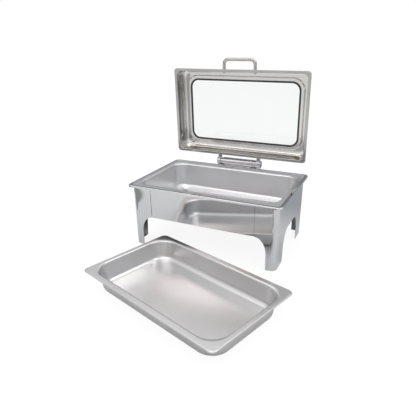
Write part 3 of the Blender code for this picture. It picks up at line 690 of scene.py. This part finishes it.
def hinge_ear(start, radius, rear, step, seat, plate):
    """The stem and the round end of one of the bracket's ears."""
    ends = (start, start + EAR_WIDTH)
    stem = (((rear, step), 0), ((rear, seat), 0), ((rear - 11.0, seat), 0.8),
            ((rear - 11.0, seat + plate), 0.8), ((rear, seat + plate), 1.0), ((rear, HINGE_Z), 0),
            ((HINGE_Y + 9.0, HINGE_Z), 0), ((rear + 11.0, step), 1.0))
    head = [(ends[0], radius - 0.5), (ends[0] + 0.5, radius), (ends[1] - 0.5, radius),
            (ends[1], radius - 0.5)]
    return [extruded(stem, ends, CHAFER @ ACROSS), turned(head, False, HINGE)]


def hinge_bracket():
    """The bracket with its ears, bored for the shaft. It stays with the stand."""
    low, step, high, plate = 188.0, 211.5, RIM_TOP - 3.0, 2.5
    wall, rear, seat = PANEL_HALF_Y + GAP, RIM_HALF_Y + 0.6, RIM_TOP + GAP
    outline = (((wall, low), 0), ((wall, step + plate), 1.0), ((rear, step + plate), 2.5), ((rear, high), 0),
               ((rear + plate, high), 0), ((rear + plate, step), 1.0), ((wall + plate, step), 2.5),
               ((wall + plate, low), 0))
    span = (EARS["left"][0], EARS["right"][0] + EAR_WIDTH)
    solids = []
    for start, radius in EARS.values():
        solids += hinge_ear(start, radius, rear, step, seat, plate)
    bracket = boolean(extruded(outline, span, CHAFER @ ACROSS), solids, "UNION")
    bore = turned([(span[0] - 5, 5.1), (span[1] + 5, 5.1)], False, HINGE)
    piece("hinge_bracket_fine", boolean(bracket, [bore], "DIFFERENCE"), "stand", CHROME, ["hinge_bracket"])


def damper():
    """The damper's tube and its collar, which stay with the stand."""
    tube = [(DAMPER_LEFT, DAMPER_RADIUS - 0.8), (DAMPER_LEFT + 0.25, DAMPER_RADIUS - 0.25),
            (DAMPER_LEFT + 0.8, DAMPER_RADIUS), (DAMPER_RIGHT - 0.8, DAMPER_RADIUS),
            (DAMPER_RIGHT - 0.25, DAMPER_RADIUS - 0.25), (DAMPER_RIGHT, DAMPER_RADIUS - 0.8),
            (DAMPER_RIGHT, DAMPER_RADIUS - 2.0), (DAMPER_LEFT, DAMPER_RADIUS - 2.0)]
    piece("damper_tube_fine", turned(tube, True, HINGE), "stand", CHROME, ["damper_tube"])
    collar = [(48.0, DAMPER_RADIUS + 0.2), (58.4, DAMPER_RADIUS + 0.2), (58.4, 16.0), (58.0, 16.4),
              (48.4, 16.4), (48.0, 16.0)]
    piece("damper_collar_fine", turned(collar, True, HINGE), "stand", CHROME, ["damper_collar"])


def hinge_arms():
    """End caps with the arms that carry the lid."""
    near = LID_HALF_Y + (HINGE_Y - LID_REAR_Y) - 11.0
    outer_wall, upper_wall, plate = LID_HALF_Y - 9.4, LID_HALF_Y - 11.5, 3.0
    corners = (((near, 4.0), 0), ((near, 7.0), 0), ((outer_wall + plate, 7.0), 2.0),
               ((upper_wall + plate, 38.0), 1.2), ((upper_wall, 38.0), 1.2), ((outer_wall, 4.0), 3.0))
    for label, (outer, inner, start) in HUBS.items():
        inward = 1 if inner > outer else -1
        hub = [(outer, DAMPER_RADIUS - 2.0), (outer + inward * 0.6, DAMPER_RADIUS - 0.6),
               (outer + inward * 2.0, DAMPER_RADIUS), (inner - inward * 0.5, DAMPER_RADIUS),
               (inner, DAMPER_RADIUS - 0.5), (inner, 5.3), (outer + inward * 4.0, 5.3)]
        arm = extruded(corners, (start, start + ARM_WIDTH), LID @ ACROSS)
        shape = boolean(turned(hub, False, OPENED @ ACROSS), [arm], "UNION")
        name = "hinge_arm_" + label
        piece(name + "_fine", shape, "lid", CHROME, [name])


def keep(finish, *nodes):
    """CAD nodes whose shape is right as it is."""
    for node in nodes:
        frame["nodes"][node].material_slots[0].material = finish


# ---------------------------------------------------------------- stage

# What polished metal sees round it: (direction or floor point, squeeze, radius, radius of its edge, colour)
EVEN = (1.0, 1.0, 1.0)
SKY_BASE = (0.78, 0.78, 0.79)
SKY_SPOTS = (
    ((-0.25, 0.95, 0.00), (0.5, 0.5, 2.0), 0.78, 0.95, (0.25, 0.25, 0.27)),
    ((0.95, 0.10, 0.20), EVEN, 0.40, 0.80, (0.56, 0.58, 0.61)),
    ((0.60, 0.25, 0.76), EVEN, 0.20, 0.36, (2.10, 2.07, 2.04)),
    ((0.03, -0.46, 0.89), EVEN, 0.26, 0.42, (2.10, 2.10, 2.10)),
    ((-0.30, 0.35, 0.88), EVEN, 0.25, 0.40, (1.30, 1.30, 1.30)),
    ((-0.34, -0.93, 0.08), (0.6, 0.6, 2.5), 0.25, 0.38, (1.15, 1.14, 1.13)),
    ((-0.36, -0.84, 0.41), (0.8, 0.8, 2.2), 0.26, 0.42, (0.17, 0.12, 0.07)),
    ((-0.393, -0.747, 0.53), EVEN, 0.05, 0.14, (3.1, 2.78, 2.78)),
)
LAMP_AIM = (0, 0, 0.1)
FLOOR_SIZE, FLOOR_LIT, FLOOR_GLOW = 20.0, 0.12, 0.91
# The floor as seen in reflections is painted light and shade: lighter to the front left, darker to the rear
FLOOR_BASE = (0.72, 0.72, 0.72)
# right, far to the right front and far to the left rear
FLOOR_SPOTS = (
    ((-0.6, -1.0, 0.0), EVEN, 0.5, 1.0, (0.80, 0.80, 0.795)),
    ((0.45, 1.0, 0.0), EVEN, 0.35, 0.75, (0.38, 0.395, 0.42)),
    ((2.2, -2.0, 0.0), EVEN, 1.0, 1.9, (0.22, 0.19, 0.17)),
    ((-1.6, 0.6, 0.0), EVEN, 0.85, 0.95, (0.16, 0.16, 0.15)),
    # Painted shadow under the stand, seen in reflections
    ((-0.05, 0.25, 0.0), EVEN, 0.16, 0.30, (0.20, 0.19, 0.18)),
    # Painted dark patch, which the front left leg's mirror shows as a dark wedge
    ((-0.75, -0.25, 0.0), EVEN, 0.215, 0.245, (0.30, 0.31, 0.30)),
)


def seen_directly(made):
    """1 where the surface is seen by eye or straight through glass, 0 in reflections and as a light."""
    rays = made.node("ShaderNodeLightPath").outputs
    unmirrored = made.maths("LESS_THAN", rays["Glossy Depth"], 0.5)
    through_glass = made.maths("MULTIPLY", rays["Is Transmission Ray"], unmirrored)
    return made.maths("MAXIMUM", rays["Is Camera Ray"], through_glass)


def floor():
    """White floor, even to the eye; in reflections its colour is painted light and shade, with a painted
    shadow under the stand.
    """
    shape = bmesh.new()
    bmesh.ops.create_grid(shape, x_segments=1, y_segments=1, size=FLOOR_SIZE)
    ground = linked("floor", shape)
    material = bpy.data.materials.new("pale_floor")
    made = Finish(material)
    lit = made.node("ShaderNodeBsdfDiffuse", {"Color": (FLOOR_LIT, FLOOR_LIT, FLOOR_LIT, 1)}).outputs[0]
    glow = made.node("ShaderNodeEmission", {"Color": (1, 1, 1, 1), "Strength": FLOOR_GLOW}).outputs[0]
    # Painted light and shade on the floor, seen only in reflections
    mirrored = made.node("ShaderNodeBsdfDiffuse", {"Color": made.painted(FLOOR_BASE, FLOOR_SPOTS)}).outputs[0]
    pale = made.node("ShaderNodeAddShader", {0: lit, 1: glow}).outputs[0]
    mix = made.node("ShaderNodeMixShader", {0: seen_directly(made), 1: mirrored, 2: pale}).outputs[0]
    made.fill(made.tree.nodes["Material Output"], {"Surface": mix})
    ground.data.materials.append(material)


def world():
    """White to the eye, with the studio's light and dark areas in reflections."""
    sky = bpy.data.worlds.new("studio")
    bpy.context.scene.world = sky
    made = Finish(sky, "Generated")
    colour = made.tint(seen_directly(made), made.painted(SKY_BASE, SKY_SPOTS), (1.0, 1.0, 1.0))
    made.fill(made.tree.nodes["Background"], {"Color": colour, "Strength": 1.0})


def lamp(name, place, size, power):
    """A square white area light, aimed at the chafer."""
    light = bpy.data.lights.new(name, "AREA")
    light.size = size
    light.energy = power
    made = bpy.data.objects.new(name, light)
    bpy.context.scene.collection.objects.link(made)
    made.location = place
    made.rotation_euler = (Vector(LAMP_AIM) - Vector(place)).to_track_quat("-Z", "Y").to_euler()


def camera():
    data = bpy.data.cameras.new("camera")
    data.lens, data.sensor_width = CAMERA_LENS, CAMERA_SENSOR
    made = bpy.data.objects.new("camera", data)
    bpy.context.scene.collection.objects.link(made)
    yaw, pitch, roll = -CAMERA_YAW, CAMERA_PITCH, -CAMERA_ROLL
    ahead = Vector((math.sin(yaw) * math.cos(pitch), math.cos(yaw) * math.cos(pitch), -math.sin(pitch)))
    right = Vector((math.cos(yaw), -math.sin(yaw), 0))
    up = right.cross(ahead)
    tilted_right = right * math.cos(roll) + up * math.sin(roll)
    tilted_up = up * math.cos(roll) - right * math.sin(roll)
    turn = Matrix((tilted_right, tilted_up, -ahead)).transposed()
    made.matrix_world = Matrix.Translation(CHAFER @ (Vector(CAMERA_PLACE) * MM)) @ turn.to_4x4()
    bpy.context.scene.camera = made


for side_name, side_sign in (("end_frame_left", -1), ("end_frame_right", 1)):
    end_frame(side_name, side_sign)
apron("front_apron", -1)
apron("rear_apron", 1)
top_frame()
water_pan()
food_pan()
lid_shell()
window_pane()
window_gasket()
window_ring()
handle()
handle_screws()
bracket_fasteners()
hinge_bracket()
damper()
hinge_arms()
keep(DARK_PLATE, "splice_plate_front_left", "splice_plate_rear_left")
keep(PLAIN, "splice_plate_front_right", "splice_plate_rear_right", "damper_cap_left", "damper_cap_right",
     "hinge_shaft", "handle_washer_left", "handle_washer_right")
keep(RUBBER, "shaft_seal_left", "shaft_seal_right")
keep(NYLON, "damper_rotor")
floor()
world()
lamp("key", (-1.0, -1.0, 2.4), size=2.0, power=3.0)
lamp("fill", (1.2, 0.2, 2.2), size=1.6, power=4.0)
camera()
bpy.context.scene.view_settings.view_transform = "Standard"
